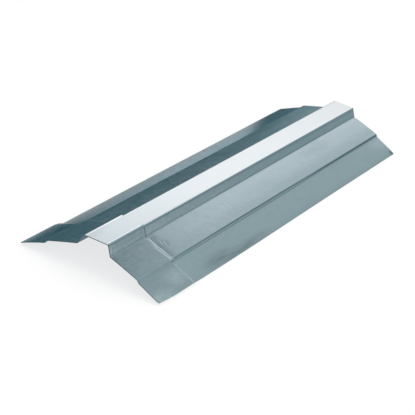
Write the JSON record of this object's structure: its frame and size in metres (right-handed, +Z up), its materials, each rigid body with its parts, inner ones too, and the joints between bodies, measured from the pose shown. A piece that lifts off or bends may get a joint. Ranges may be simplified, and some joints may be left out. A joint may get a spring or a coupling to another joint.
{
  "type": "roof ridge cap",
  "caption": "Pressed galvanised steel ridge cap with a raised flat crown, stepped side flanges and a swaged lap socket at one end.",
  "frame": {"origin": "under the middle of the cap, level with the flange edges that it rests on", "axes": "+X along the ridge from the lap socket to the plain end, +Y across the ridge to the back flange, +Z up from the roof"},
  "size_m": [1.1, 0.2956, 0.0698],
  "materials": {
    "galvanised_steel": "hot-dip galvanised, satin, lightly mottled"
  },
  "bodies": {
    "root": {"ridge_cap": "galvanised_steel"}
  },
  "joints": []
}
